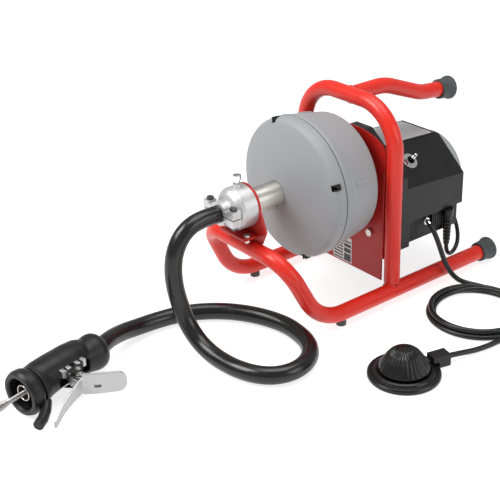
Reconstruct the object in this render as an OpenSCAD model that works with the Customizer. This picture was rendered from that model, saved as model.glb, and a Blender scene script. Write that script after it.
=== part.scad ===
/* [Frame] */
// Outer radius of the frame tube
tube_r = 14.3; // [12:0.1:16]
// Wall of the frame tube
tube_wall = 1.8; // [1.2:0.1:3]
// Half the distance between the two floor rails
rail_x = 121.5; // [118:0.1:130]
// Height of the rail centre line above the floor
rail_z = 22; // [22:0.5:26]
// Half the distance between the arch legs
arch_x = 117; // [116:0.5:120]
// Height of the centre line of the arch top
arch_z = 360.6; // [350:0.1:370]
// Height of the carrying handle's rear end
handle_end_z = 315; // [305:0.5:325]

/* [Drum] */
// Height of the drum axis
axis_z = 221; // [219:0.5:223]
// Largest outer radius of the drum
drum_r = 126; // [122:0.5:128]
// Outer radius at the back of the drum
drum_back_r = 112; // [106:0.5:114]
// Wall of the drum shells
drum_wall = 3; // [2:0.5:4]
// Outer radius of the hub tube
hub_r = 23; // [21:0.5:23]
// Radius of the drain cable
cable_r = 4; // [3:0.1:4]
// Turns in one layer of the stored cable
cable_turns = 7; // [4:1:7]

/* [Drive] */
// Teeth of the pinion
pinion_teeth = 12; // [12:1:12]
// Teeth of the drum gear
gear_teeth = 84; // [84:1:84]
// Gear module
gear_module = 1; // [1:1:1]
// Tilt of the motor cover's top towards the back, degrees
cover_tilt = 3.2; // [0:0.1:4]

/* [Hand gun] */
// Heading of the gun, degrees from straight ahead
gun_heading = 13; // [8:1:18]
// Length of the gun body
gun_len = 172; // [168:1:176]
// Outer radius of the guide hose
hose_r = 15; // [14:0.5:15]

/* [Foot pedal] */
// Radius of the pedal base
pedal_r = 60; // [56:1:62]
// Height of the pedal dome at rest
dome_top = 52.5; // [50:0.5:60]

/* [Cords] */
// Radius of the air hose
air_r = 4.75; // [4:0.25:5]
// Radius of the mains cord
cord_r = 4; // [3.5:0.25:4]

/* [Hidden] */
$fn = 64;

// Floor rails and front hoop, one bent tube
rail_back_y = 252;
hoop_front_y = -237;
hoop_z = 147;
hoop_x = 109;
base_route = [
    [rail_x, rail_back_y, rail_z], [rail_x, -174, rail_z], [hoop_x, hoop_front_y, hoop_z],
    [-hoop_x, hoop_front_y, hoop_z], [-rail_x, -174, rail_z], [-rail_x, rail_back_y, rail_z]
];
base_bends = [0, 85, 51, 51, 85, 0];

// Arch over the rails
arch_y = 1.4;
arch_route = [[arch_x, arch_y, rail_z + tube_r + 0.4], [arch_x, arch_y, arch_z],
              [-arch_x, arch_y, arch_z], [-arch_x, arch_y, rail_z + tube_r + 0.4]];
arch_bends = [0, 80, 80, 0];

// Carrying handle, from the arch to its rear cap
handle_z = 358.6;
handle_route = [[0, arch_y + tube_r + 0.3, handle_z], [0, 86, handle_z], [0, 181, 321.6],
                [0, 252, handle_end_z]];
handle_bends = [0, 108, 109, 0];

// Rubber caps and feet
cap_r = 22;
cap_len = 31;
foot_y = -124.5;
foot_r = 9;

// Motor plate between the legs
plate_y = -8.5;
plate_t = 3;
plate_low = 36;
slit_top = 80;

// Housing outline, half widths and heights
side_x = 112;
case_top_x = 20;
case_top_z = 295.5;
case_side_z = 226;
cover_top_x = 46;
cover_top_z = 262;
cover_side_z = 204;
house_low = 90;
case_y0 = 16;
case_y1 = 40;
cover_y1 = 184;
bowl_z = 160;
spigot_r = 61.9;
shell = 3;

// Recess in the near side of the motor cover
recess_x = 100;
recess_y0 = 48;
recess_z = 137;

// Gear pair
motor_z = axis_z - gear_module * (gear_teeth + pinion_teeth) / 2;
gear_y0 = 22;
gear_w = 10;
flank_slack = 0.09;

// Hand gun, in its own frame: x outwards, y backwards, z up from the bore axis
gun_x = -35.1;
gun_y = -514.5;
gun_z = 37.7;
lever_x = 38;
lever_y = -84;

// Foot pedal
pedal_x = 308;
pedal_y = -158;
spout_angle = 76;

// Coil of the air hose on the floor
air_coil_x = 256;
air_coil_y = 76;
air_coil_r = 81;

// Coil of the mains cord behind the machine
power_coil_x = -112;
power_coil_y = 324;
power_coil_r = 44;

// Route of the guide hose, from the nose clamp to the back of the gun
hose_route = [
    [0, -281, 221], [0, -300, 221], [0, -322, 221], [0, -346, 216], [0, -366, 202],
    [0, -380, 178], [1, -386, 148], [4, -386, 116], [10, -382, 84], [22, -378, 54],
    [44, -374, 31], [74, -371, 19], [106, -368, 15.5], [138, -363, 15.5], [168, -351, 15.5],
    [190, -331, 15.5], [200, -303, 15.5], [196, -273, 15.5], [179, -246, 15.5],
    [151, -227, 15.5], [117, -218, 15.5], [80, -217, 15.5], [42, -226, 15.5], [6, -243, 15.5],
    [-26, -267, 15.5], [-52, -298, 15.5], [-70, -334, 15.5], [-79, -374, 15.5],
    [-79, -415, 18], [-71.5, -448, 24.5], [-58.5, -477, 31.5], [-46, -497.5, 36],
    [-35.5, -515.8, 37.7], [-31.3, -531.1, 37.7]
];

// Air hose: from the side fitting down over the rail to its coil, then from the coil to the pedal
air_in_route = [
    [114, 99, 118], [122, 101, 106], [130, 104, 88], [137, 108, 66], [143, 114, 44],
    [150, 123, 24], [160, 134, 10], [176, 145, 5], [198, 153, 5], [226, 158, 5], [256, 162.2, 5]
];
air_out_route = [
    [342.2, 76, 5], [343, 52, 5], [343, 28, 5], [341, 2, 5], [337, -24, 6],
    [332, -50, 9], [327.5, -79, 13]
];

// Mains cord: from the strain relief to its coil, then from the coil to the plug
power_in_route = [
    [108, 151, 61], [107.2, 153.3, 48.8], [104.9, 159.8, 38.4], [101.5, 169.6, 31.4],
    [97.4, 181.2, 29], [93.6, 192.6, 31.6], [89.3, 203.2, 40], [83.5, 210.4, 51.5],
    [74.5, 216, 64.5], [62.5, 221.5, 76.5], [48, 229.5, 85.5], [31, 240, 89], [15, 253, 84],
    [2, 268, 71], [-8, 285, 54], [-19, 303, 35], [-32, 321, 18], [-50, 340, 6.5],
    [-72, 358.5, 4.2], [-94, 371.5, 4.2], [-112, 376.2, 4.2]
];
power_out_route = [
    [-164.2, 324, 4.2], [-165, 308, 4.2], [-168, 292, 5], [-174, 276, 8], [-183, 262, 12], [-195, 252, 14]
];

function unit(v) = v / norm(v);
function turn(a, b, c) = acos(unit(b - a) * unit(c - b));
function set_back(pts, rads, i) =
    (i == 0 || i == len(pts) - 1) ? 0 : rads[i] * tan(turn(pts[i - 1], pts[i], pts[i + 1]) / 2);

// Puts its child's +Z along the line from p to q, starting at p
module along(p, q) {
    d = q - p;
    translate(p)
        rotate([0, acos(d[2] / norm(d)), atan2(d[1], d[0])])
            children();
}

module ring(r, wall) {
    difference() {
        circle(r);
        circle(r - wall);
    }
}

// One bend of a tube at corner b, on the way from a to c
module tube_bend(a, b, c, rad, r, wall) {
    u = unit(b - a);
    w = unit(c - b);
    m = unit(w - (w * u) * u);
    n = cross(u, m);
    start = b - u * rad * tan(turn(a, b, c) / 2);
    tilt = acos(n[2]);
    head = atan2(n[1], n[0]);
    side_axis = [cos(tilt) * cos(head), cos(tilt) * sin(head), -sin(tilt)];
    up_axis = [-sin(head), cos(head), 0];
    spin = atan2(-m * up_axis, -m * side_axis);
    translate(start + rad * m)
        rotate([0, tilt, head])
            rotate([0, 0, spin])
                rotate_extrude(angle = turn(a, b, c))
                    translate([rad, 0])
                        ring(r, wall);
}

// A bent round tube: straight lengths that run a little way into slightly thicker bends
bend_swell = 0.06;
bend_lap = 1.2;

module bent_tube(pts, rads, r, wall) {
    last = len(pts) - 1;
    for (i = [0 : last - 1]) {
        u = unit(pts[i + 1] - pts[i]);
        p = pts[i] + u * (set_back(pts, rads, i) - (i > 0 ? bend_lap : 0));
        q = pts[i + 1] - u * (set_back(pts, rads, i + 1) - (i + 1 < last ? bend_lap : 0));
        along(p, q)
            linear_extrude(norm(q - p))
                ring(r, wall);
    }
    for (i = [1 : last - 1])
        tube_bend(pts[i - 1], pts[i], pts[i + 1], rads[i], r + bend_swell, wall + 2 * bend_swell);
}

// Turns a profile (radius, distance ahead of the arch) about the axis at height z
module about(z) {
    translate([0, 0, z])
        rotate([90, 0, 0])
            rotate_extrude($fn = 96)
                children();
}

// A round bar or hole along the machine, from y0 to y1
module axial(z, y0, y1, r, x = 0) {
    translate([x, y1, z])
        rotate([90, 0, 0])
            cylinder(h = y1 - y0, r = r);
}

// Direction of a route at point i, and the two cross directions of its rings
function heading(p, i) = unit(p[min(i + 1, len(p) - 1)] - p[max(i - 1, 0)]);
function across(d) = unit(cross(d, abs(d[2]) > 0.9 ? [1, 0, 0] : [0, 0, 1]));

// Side vectors carried along the route so that the tube doesn't twist
function carried(p, i) =
    i == 0 ? across(heading(p, 0))
           : let (d = heading(p, i), s = carried(p, i - 1)) unit(s - (s * d) * d);

// A solid tube with flat ends along the points of a route
module swept(p, r, sides = 10) {
    n = len(p);
    points = [
        for (i = [0 : n - 1])
            let (d = heading(p, i), s = carried(p, i), t = cross(d, s))
                for (k = [0 : sides - 1])
                    p[i] + r * (cos(360 * k / sides) * s + sin(360 * k / sides) * t)
    ];
    walls = [
        for (i = [0 : n - 2], k = [0 : sides - 1])
            let (l = (k + 1) % sides)
                each [
                    [i * sides + k, (i + 1) * sides + l, i * sides + l],
                    [i * sides + k, (i + 1) * sides + k, (i + 1) * sides + l]
                ]
    ];
    first = [for (k = [0 : sides - 1]) k];
    last = [for (k = [sides - 1 : -1 : 0]) (n - 1) * sides + k];
    polyhedron(points, concat([first], walls, [last]));
}

module base_tube() {
    color("red") bent_tube(base_route, base_bends, tube_r, tube_wall);
}

module arch_tube() {
    color("red") bent_tube(arch_route, arch_bends, tube_r, tube_wall);
}

module handle_tube() {
    color("red") bent_tube(handle_route, handle_bends, tube_r, tube_wall);
}

// Bolt places on the motor plate
plate_bolts = [[70, 122], [-70, 122], [70, 246], [-70, 246]];
bolt_hole_r = 4.2;

module motor_plate() {
    wide = arch_x - tube_r + 1.5;
    outline = [
        [-99, plate_low], [99, plate_low], [99, slit_top], [wide, slit_top], [wide, 284],
        [97, 293], [79, 302.5], [56, 309], [30, 311.5], [-30, 311.5], [-56, 309], [-79, 302.5],
        [-97, 293], [-wide, 284], [-wide, slit_top], [-99, slit_top]
    ];
    color("firebrick")
        translate([0, plate_y + plate_t, 0])
            rotate([90, 0, 0])
                linear_extrude(plate_t)
                    difference() {
                        polygon(outline);
                        translate([0, axis_z]) circle(16.3);
                        for (b = plate_bolts) translate(b) circle(bolt_hole_r);
                    }
}

bracket_y = -233;
bracket_t = 4;
shelf_z = 172;
shelf_bolts = [[27, -252], [-27, -252]];
screw_ring = 34.8;

module nose_bracket() {
    color("firebrick") {
        translate([0, bracket_y + bracket_t, 0])
            rotate([90, 0, 0])
                linear_extrude(bracket_t)
                    difference() {
                        union() {
                            translate([0, axis_z]) circle(38.6);
                            polygon([
                                [-54, 186], [-42, hoop_z + 14.1], [42, hoop_z + 14.1], [54, 186],
                                [38.6, axis_z], [-38.6, axis_z]
                            ]);
                        }
                        translate([0, axis_z]) circle(hub_r + 1.5);
                        for (a = [45 : 90 : 315])
                            translate([screw_ring * cos(a), axis_z + screw_ring * sin(a)]) circle(1.6);
                    }
        difference() {
            translate([-34, -264, shelf_z]) cube([68, 264 + bracket_y, 4]);
            for (b = shelf_bolts)
                translate([b[0], b[1], shelf_z - 1]) cylinder(h = 6, r = 3.2);
        }
    }
}

// A hexagon-head bolt along +Z, its head's underside at the origin
module bolt(r, length, head_r, head_h) {
    translate([0, 0, -length]) cylinder(h = length, r = r);
    cylinder(h = head_h, r = head_r, $fn = 6);
}

module frame_bolts() {
    color("silver") {
        for (b = plate_bolts)
            translate([b[0], plate_y, b[1]])
                rotate([90, 0, 0])
                    bolt(4, 29, 7.4, 5);
        // spacer tubes between the plate and the gear case
        for (b = plate_bolts)
            difference() {
                axial(b[1], plate_y + plate_t + 0.1, case_y0 - 0.1, 7, b[0]);
                axial(b[1], plate_y, case_y0 + 1, 4.2, b[0]);
            }
        for (b = shelf_bolts) {
            translate([b[0], b[1], shelf_z + 4])
                bolt(3, 11, 5.8, 4);
            translate([b[0], b[1], shelf_z - 5])
                difference() {
                    cylinder(h = 5, r = 5.8, $fn = 6);
                    translate([0, 0, -1]) cylinder(h = 7, r = 3.02);
                }
        }
        // small screws that hold the nose housing to its bracket
        for (a = [45 : 90 : 315])
            translate([screw_ring * cos(a), bracket_y + bracket_t, axis_z + screw_ring * sin(a)])
                rotate([-90, 0, 0])
                    bolt(1.5, 12, 2.8, 2.5);
    }
}

module front_feet() {
    color("black")
        for (s = [-1, 1])
            difference() {
                translate([s * rail_x, foot_y, 0]) cylinder(h = 13, r = foot_r);
                translate([s * rail_x, foot_y + 20, rail_z])
                    rotate([90, 0, 0])
                        cylinder(h = 40, r = tube_r + 0.1);
            }
}

// A rubber cap that flares to its closed end, along +Z
module tube_cap() {
    rotate_extrude($fn = 72)
        polygon([
            [tube_r + 0.05, 0], [18, 0], [18.6, 4], [18.6, 12], [19.6, 20], [21, 24],
            [cap_r, 26.5], [cap_r, 29.5], [20.5, cap_len], [0, cap_len], [0, cap_len - 5],
            [tube_r + 0.05, cap_len - 5]
        ]);
}

module tube_caps() {
    back = cap_len - 5;
    color("dimgray") {
        for (s = [-1, 1])
            along([s * rail_x, rail_back_y - back, rail_z], [s * rail_x, rail_back_y, rail_z])
                tube_cap();
        end = handle_route[3];
        run = unit(end - handle_route[2]);
        along(end - back * run, end)
            tube_cap();
    }
}

nose_y1 = -233.1;
nose_bore_r = 32;

module nose_housing() {
    color("lightgray")
        difference() {
            union() {
                about(axis_z)
                    polygon([
                        [nose_bore_r, -nose_y1], [37.5, -nose_y1], [37.5, 259], [35, 265], [29, 270],
                        [21, 272.5], [15, 272.5], [15, 280.8], [11.5, 280.8], [11.5, 268],
                        [27, 264], [27, 256], [nose_bore_r, 256]
                    ]);
                // boss under the thumb screw
                translate([0, -248, axis_z + 33]) cylinder(h = 10, r = 8);
            }
            axial(axis_z, -256, nose_y1 + 1, nose_bore_r);
            translate([0, -248, axis_z + 20]) cylinder(h = 30, r = 3.05);
            for (a = [45 : 90 : 315])
                axial(axis_z + screw_ring * sin(a), -243, nose_y1 + 1, 1.52, screw_ring * cos(a));
        }
}

module nose_bearing() {
    color("silver")
        about(axis_z)
            difference() {
                translate([hub_r + 0.06, 240]) square([nose_bore_r - hub_r - 0.1, 14]);
                translate([27.5, 247]) circle(2.2);
            }
}

clamp_y0 = -290;
clamp_y1 = -273;
ear_x = 32;

// One half of the hose clamp, above the axis; the other is its mirror image
module clamp_half() {
    difference() {
        union() {
            axial(0, clamp_y0, clamp_y1, 21);
            translate([-ear_x - 9, clamp_y0, 0]) cube([2 * ear_x + 18, clamp_y1 - clamp_y0, 14]);
        }
        axial(0, clamp_y0 - 1, clamp_y1 + 1, hose_r + 0.1);
        translate([-60, clamp_y0 - 1, -40]) cube([120, 20, 41]);
        for (s = [-1, 1])
            translate([s * ear_x, (clamp_y0 + clamp_y1) / 2, -1]) cylinder(h = 30, r = 3.2);
        for (s = [-1, 1])
            translate([s * 21 - 5, clamp_y0 - 1, 10]) cube([10, 20, 12]);
    }
}

module clamp_upper() {
    color("gainsboro") translate([0, 0, axis_z]) clamp_half();
}

module clamp_lower() {
    color("gainsboro") translate([0, 0, axis_z]) mirror([0, 0, 1]) clamp_half();
}

module clamp_bolts() {
    color("dimgray")
        for (s = [-1, 1])
            translate([s * ear_x, (clamp_y0 + clamp_y1) / 2, axis_z + 14])
                bolt(3, 36, 6.4, 5);
}

module clamp_nuts() {
    color("dimgray")
        for (s = [-1, 1])
            translate([s * ear_x, (clamp_y0 + clamp_y1) / 2, axis_z - 14 - 5])
                difference() {
                    cylinder(h = 5, r = 6.4, $fn = 6);
                    translate([0, 0, -1]) cylinder(h = 7, r = 3.02);
                }
}

module thumb_screw() {
    color("silver")
        translate([0, -248, axis_z])
            rotate_extrude()
                polygon([
                    [0, 32.4], [3, 32.4], [3, 45], [5, 45.5], [5, 50], [7.2, 51], [7.2, 58],
                    [4.6, 58], [4.2, 55], [0, 55]
                ]);
}

// Rounded front corner of the drum cover, radius and distance ahead
corner_a = [65, 54, 43, 32, 21, 10, 0];
corner = [for (a = corner_a) [106 + 20 * cos(a), 121.5 + 20 * sin(a)]];
corner_in = [for (k = [6 : -1 : 0]) [106 + 17 * cos(corner_a[k]), 121.5 + 17 * sin(corner_a[k])]];
clip_phase = 18;

// The four places of the drum clips
module at_clips() {
    for (k = [0 : 3])
        translate([0, 0, axis_z])
            rotate([0, -(clip_phase + 90 * k), 0])
                translate([120, -130, 0])
                    children();
}

module drum_front() {
    scale_r = drum_r / 126;
    color("darkgray")
        difference() {
            about(axis_z)
                polygon(concat(
                    [[hub_r + 0.05, 166], [34, 163.8], [104 * scale_r, 144]],
                    [for (c = corner) [c[0] * scale_r, c[1]]],
                    [[drum_r, 106], [drum_r - drum_wall, 106]],
                    [for (c = corner_in) [c[0] * scale_r, c[1]]],
                    [[103 * scale_r, 141], [34, 160.7], [hub_r + 0.05, 162.4]]
                ));
            at_clips() cube([14, 9, 11], center = true);
        }
}

module drum_clips() {
    color("black")
        at_clips()
            difference() {
                cube([10, 8.6, 10.6], center = true);
                translate([4, -2, 0]) cube([6, 6, 4], center = true);
            }
}

module drum_rear() {
    lip = drum_r - drum_wall - 0.1;
    color("darkgray")
        difference() {
            about(axis_z)
                polygon([
                    [31, 28], [drum_back_r - 7, 28], [drum_back_r - 2, 30], [drum_back_r, 36],
                    [drum_r - 1.6, 105.8], [lip, 105.8], [lip, 116], [lip - 2.4, 116],
                    [lip - 2.4, 103], [drum_back_r - drum_wall, 36], [drum_back_r - 8, 31], [31, 31]
                ]);
        }
    // grip ribs moulded on the side
    color("darkgray")
        for (k = [0 : 3])
            translate([0, 0, axis_z])
                rotate([0, -(clip_phase - 3 + 90 * k), 0])
                    translate([drum_back_r + 2.6, -74, 0])
                        cube([3.4, 24, 8]);
}

module hub_tube() {
    color("silver")
        difference() {
            about(axis_z)
                polygon([
                    [20, 155], [hub_r + 7, 155], [hub_r + 7, 158], [hub_r, 158],
                    [hub_r, 255], [20, 255]
                ]);
            translate([0, -180, axis_z])
                rotate([0, 122, 0])
                    cylinder(h = 40, r = 2.6);
        }
}

module drum_shaft() {
    color("silver")
        about(axis_z)
            polygon([[0, -35], [8, -35], [8, 24], [30.9, 24], [30.9, 31], [26, 34], [0, 34]]);
}

// The stored cable, wound against the drum wall in two layers
module cable_coil() {
    pitch = 2 * cable_r + 0.6;
    color("slategray")
        for (layer = [0, 1], k = [0 : cable_turns - 1]) {
            ahead = 40 + pitch * (k + layer / 2);
            slope = (drum_r - drum_back_r - 2.5) / 67;
            wall_r = drum_back_r - drum_wall + slope * (ahead - 36);
            about(axis_z)
                translate([wall_r - cable_r - 1 - layer * pitch, ahead])
                    circle(cable_r, $fn = 32);
        }
}

// The cable's way from the coil to the middle and out through the hub tube
lead_turn = [
    for (k = [0 : 12])
        let (s = k / 12, a = 210 * s, r = 88 * pow(cos(90 * s), 1.2))
            [r * cos(a), -62 - 78 * s * s, axis_z + r * sin(a)]
];
lead_run = [for (y = [-160 : -24 : -256]) [0, y, axis_z], [0, -278, axis_z]];

module cable_lead() {
    color("slategray") swept(concat(lead_turn, lead_run), cable_r - 0.2, 8);
}

// Involute point of a base circle at roll angle t
function roll(base, t) = base * [cos(t) + PI * t / 180 * sin(t), sin(t) - PI * t / 180 * cos(t)];
function roll_to(base, r) = sqrt(pow(r / base, 2) - 1) * 180 / PI;
function polar(p) = [norm(p), atan2(p[1], p[0])];
function at(r, a) = [r * cos(a), r * sin(a)];

// Outline of a spur gear with its first tooth on the x axis
function gear_outline(teeth) =
    let (
        pitch_r = gear_module * teeth / 2,
        base = pitch_r * cos(20),
        tip_r = pitch_r + 0.95 * gear_module,
        root_r = pitch_r - 1.25 * gear_module,
        low_r = max(base, root_r),
        half = 90 / teeth - flank_slack / pitch_r * 180 / PI / 2,
        root_half = teeth > 16 ? half + 60 / teeth : half - 0.4,
        pitch_a = polar(roll(base, roll_to(base, pitch_r)))[1],
        radii = [low_r, (low_r + pitch_r) / 2, pitch_r, (pitch_r + tip_r) / 2, tip_r],
        flank = [for (r = radii) half + pitch_a - polar(roll(base, roll_to(base, r)))[1]]
    )
    [
        for (k = [0 : teeth - 1])
            let (c = 360 * k / teeth)
                each concat(
                    [at(root_r, c - root_half)],
                    [for (i = [0 : 4]) at(radii[i], c - flank[i])],
                    [for (i = [4 : -1 : 0]) at(radii[i], c + flank[i])],
                    [at(root_r, c + root_half)]
                )
    ];

module drum_gear() {
    color("gray")
        translate([0, gear_y0 + gear_w, axis_z])
            rotate([90, 0, 0])
                difference() {
                    rotate([0, 0, 180 / gear_teeth - 90])
                        linear_extrude(gear_w)
                            polygon(gear_outline(gear_teeth));
                    translate([0, 0, -1]) cylinder(h = gear_w + 2, r = 8.02);
                    for (k = [0 : 5])
                        rotate([0, 0, 60 * k])
                            translate([24, 0, -1])
                                cylinder(h = gear_w + 2, r = 8);
                }
}

module shaft_bearing() {
    color("silver")
        about(axis_z)
            union() {
                translate([8.06, -4]) square([8, 18]);
                translate([8.06, 9]) square([16, 4.5]);
            }
}

// Eight-sided outline of the housing: half width and height of its top, and of its shoulders
module house_outline(top_x, top_z, shoulder_z, inset = 0) {
    x = side_x - inset;
    polygon([
        [-x, house_low + inset], [x, house_low + inset], [x, shoulder_z - inset * 0.6],
        [top_x - inset * 0.4, top_z - inset], [-top_x + inset * 0.4, top_z - inset],
        [-x, shoulder_z - inset * 0.6]
    ]);
}

module house_slab(y0, y1, inset = 0) {
    translate([0, y1, 0])
        rotate([90, 0, 0])
            linear_extrude(y1 - y0)
                house_outline(case_top_x, case_top_z, case_side_z, inset);
}

module gear_case() {
    color("black")
        difference() {
            house_slab(case_y0, case_y1);
            house_slab(case_y0 + shell, case_y1 - shell, shell);
            axial(axis_z, case_y0 - 1, case_y0 + shell + 1, 24.3);
            axial(motor_z, case_y1 - shell - 1, case_y1 + 1, 16.02);
            for (b = plate_bolts) axial(b[1], case_y0 - 1, case_y0 + shell + 1, bolt_hole_r, b[0]);
        }
}

// The cover's outline pushed back along its sloping top
module cover_prism(inset = 0) {
    translate([0, case_y1, 0])
        rotate([-cover_tilt, 0, 0])
            translate([0, 170, 0])
                rotate([90, 0, 0])
                    linear_extrude(200)
                        union() {
                            house_outline(cover_top_x, cover_top_z, cover_side_z, inset);
                            translate([-side_x + inset, 0])
                                square([2 * (side_x - inset), 160]);
                        }
}

module motor_cover() {
    inner_low = house_low + shell;
    color("black")
        difference() {
            intersection() {
                cover_prism();
                translate([-side_x, case_y1 + 0.1, house_low])
                    cube([2 * side_x, cover_y1 - case_y1, 220]);
            }
            // hollow, kept clear of the side recess
            intersection() {
                cover_prism(shell);
                union() {
                    translate([-side_x, case_y1 - 1, inner_low])
                        cube([side_x + recess_x - shell, cover_y1 - shell - case_y1 + 1, 200]);
                    translate([0, case_y1 - 1, recess_z + shell])
                        cube([side_x, cover_y1 - shell - case_y1 + 1, 200]);
                }
            }
            // side recess for the air fitting and the cord
            translate([recess_x, recess_y0, house_low - 1])
                cube([40, 200, recess_z - house_low + 1]);
            // back opening behind the rear cover
            axial(motor_z, cover_y1 - shell - 1, cover_y1 + 1, spigot_r + 0.5);
            // hole for the switch
            on_chamfer() translate([0, 0, -12]) cylinder(h = 20, r = 7.6);
            // hole for the air fitting
            translate([recess_x - 6, fitting_y, fitting_z])
                rotate([0, 90, 0])
                    cylinder(h = 12, r = 5.1);
        }
}

// The switch's place on the near shoulder, its +Z out of the surface
chamfer_a = atan2(cover_top_z - cover_side_z, side_x - cover_top_x);
switch_x = 74.5;
switch_back = 28;

module on_chamfer() {
    translate([0, case_y1, 0])
        rotate([-cover_tilt, 0, 0])
            translate([switch_x, switch_back, cover_top_z - (switch_x - cover_top_x) * tan(chamfer_a)])
                rotate([0, chamfer_a, 0])
                    children();
}

module top_panel() {
    color("silver")
        translate([0, case_y1, 0])
            rotate([-cover_tilt, 0, 0])
                translate([-cover_top_x + 2.5, -10.5, cover_top_z + 0.05])
                    cube([2 * cover_top_x - 5, 136, 1.4]);
}

// Bowl of the rear cover: its side wall, then its rounded end
module rear_bowl(r, y0, y1) {
    about(bowl_z)
        polygon([
            [0, -y0], [r, -y0], [r + 0.8, y0 + 14 < y1 - 17 ? -y0 - 14 : 17 - y1], [r + 0.8, 16.5 - y1],
            [r - 2, 9.5 - y1], [r - 12, 4.5 - y1], [r - 30, 1.5 - y1], [0, -y1]
        ]);
}

module rear_cover() {
    rim_y = cover_y1 + 0.1;
    color("gray") {
        difference() {
            union() {
                intersection() {
                    rear_bowl(78, rim_y, 231.5);
                    translate([-90, rim_y - 1, house_low + 1]) cube([180, 60, 170]);
                }
                axial(motor_z, rim_y - 2.6, rim_y + 1, spigot_r);
            }
            intersection() {
                rear_bowl(75, rim_y + 3, 228.5);
                translate([-90, rim_y - 1, house_low + 4]) cube([180, 60, 170]);
            }
            axial(motor_z, rim_y - 3, rim_y + 4, spigot_r - 3);
        }
        // boss round the end of the motor shaft
        difference() {
            axial(motor_z, 165.5, 229.5, 19.5);
            axial(motor_z, 165, 217, 16.02);
        }
    }
}

module stator() {
    color("silver")
        difference() {
            axial(motor_z, 70, 140, 53);
            axial(motor_z, 69, 141, 35);
            for (k = [0 : 11])
                translate([0, 0, motor_z])
                    rotate([0, 30 * k, 0])
                        translate([36, 69, -3.5])
                            cube([9, 72, 7]);
        }
    // posts that stand on the gear case
    color("silver")
        for (k = [0 : 3])
            translate([50 * cos(45 + 90 * k), 0, 50 * sin(45 + 90 * k)])
                axial(motor_z, case_y1 + 0.05, 70.2, 2.6);
    // copper end windings
    color("orange") {
        for (y = [56, 140.2])
            difference() {
                axial(motor_z, y, y + 13.6, 47);
                axial(motor_z, y - 1, y + 15, 38);
            }
    }
}

module motor_bearings() {
    color("silver")
        for (y = [[37, 46], [166, 175]])
            difference() {
                axial(motor_z, y[0], y[1], 16);
                axial(motor_z, y[0] - 1, y[1] + 1, 6.05);
            }
}

module rotor() {
    color("gray")
        difference() {
            axial(motor_z, 70, 140, 34.5);
            axial(motor_z, 69, 141, 6.02);
        }
}

module motor_shaft() {
    color("silver") {
        axial(motor_z, 35.5, 177, 6);
        translate([0, 35.5, motor_z])
            rotate([90, 0, 0])
                rotate([0, 0, 90])
                    linear_extrude(14)
                        polygon(gear_outline(pinion_teeth));
    }
}

module cooling_fan() {
    blades = 8;
    color("dimgray")
        difference() {
            union() {
                axial(motor_z, 156, 158, 46);
                axial(motor_z, 158, 164, 12);
                for (k = [0 : blades - 1])
                    translate([0, 0, motor_z])
                        rotate([0, 360 * k / blades, 0])
                            translate([11, 157, -1])
                                cube([34, 7, 2]);
            }
            axial(motor_z, 155, 165, 6.02);
        }
}

module switch_body() {
    color("black")
        on_chamfer() {
            translate([-12, -16, -28]) cube([24, 32, 24]);
            difference() {
                translate([0, 0, -4]) cylinder(h = 9, r = 7.5);
                translate([0, 0, -3]) cylinder(h = 9, r = 6);
            }
        }
}

module switch_ring() {
    color("silver")
        on_chamfer()
            difference() {
                union() {
                    translate([0, 0, 0.1]) cylinder(h = 1.2, r = 15);
                    translate([0, 0, 1.3]) cylinder(h = 3, r = 10.5, $fn = 6);
                }
                translate([0, 0, -1]) cylinder(h = 8, r = 7.6);
            }
}

module toggle() {
    color("silver")
        on_chamfer() {
            rotate_extrude()
                polygon([[0, -2.3], [2.4, -2.3], [2.2, 6], [2.8, 14], [3.6, 19], [3, 22], [0, 23]]);
            rotate([90, 0, 0])
                cylinder(h = 10, r = 1.5, center = true);
        }
}

fitting_y = 99;
fitting_z = 122;

module air_switch() {
    color("black") {
        translate([60, fitting_y - 16, fitting_z - 14]) cube([26, 32, 28]);
        translate([86, fitting_y, fitting_z])
            rotate([0, 90, 0])
                cylinder(h = 4, r = 9);
    }
}

module air_fitting() {
    color("silver") {
        translate([90.1, fitting_y, fitting_z])
            rotate([0, 90, 0])
                cylinder(h = 16, r = 5);
        translate([recess_x + 0.1, fitting_y, fitting_z])
            rotate([0, 90, 0])
                cylinder(h = 5, r = 7.5, $fn = 6);
        along([106, fitting_y, fitting_z], air_in_route[0])
            cylinder(h = norm(air_in_route[0] - [106, fitting_y, fitting_z]) - 0.05, r = 4.4);
    }
}

relief_top = [111.7, 147, recess_z - 0.8];

module strain_relief() {
    end = power_in_route[0];
    run = norm(end - relief_top);
    color("black")
        along(relief_top, end)
            difference() {
                union() {
                    cylinder(h = 18, r = 10.5);
                    rotate_extrude()
                        polygon([[0, 17], [8, 17], [6.4, run - 0.05], [0, run - 0.05]]);
                }
                for (k = [0 : 6])
                    translate([0, 0, 23 + 7 * k])
                        difference() {
                            cylinder(h = 3, r = 12);
                            translate([0, 0, -1]) cylinder(h = 5, r = 6.3 - 0.1 * k);
                        }
            }
}

dome_travel = 12;

module at_pedal() {
    translate([pedal_x, pedal_y, 0]) children();
}

module pedal_base() {
    color("black")
        at_pedal()
            rotate_extrude($fn = 96)
                polygon([
                    [0, 0], [pedal_r - 2, 0], [pedal_r, 2], [pedal_r, 7], [pedal_r - 3, 10],
                    [pedal_r - 8, 10.5], [pedal_r - 9, 12.5], [45, 13], [42, 12],
                    [42, 2.5], [0, 2.5]
                ]);
}

module pedal_spout() {
    color("black")
        at_pedal()
            rotate([0, 0, spout_angle])
                difference() {
                    union() {
                        translate([49, -11, 10.8]) cube([12, 22, 12.2]);
                        translate([pedal_r + 0.3, -11, 2]) cube([21, 22, 21]);
                    }
                    translate([0, 0, -1]) cylinder(h = 40, r = 48);
                    translate([0, 0, 0]) cylinder(h = 13.2, r = pedal_r + 0.1);
                }
}

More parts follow.
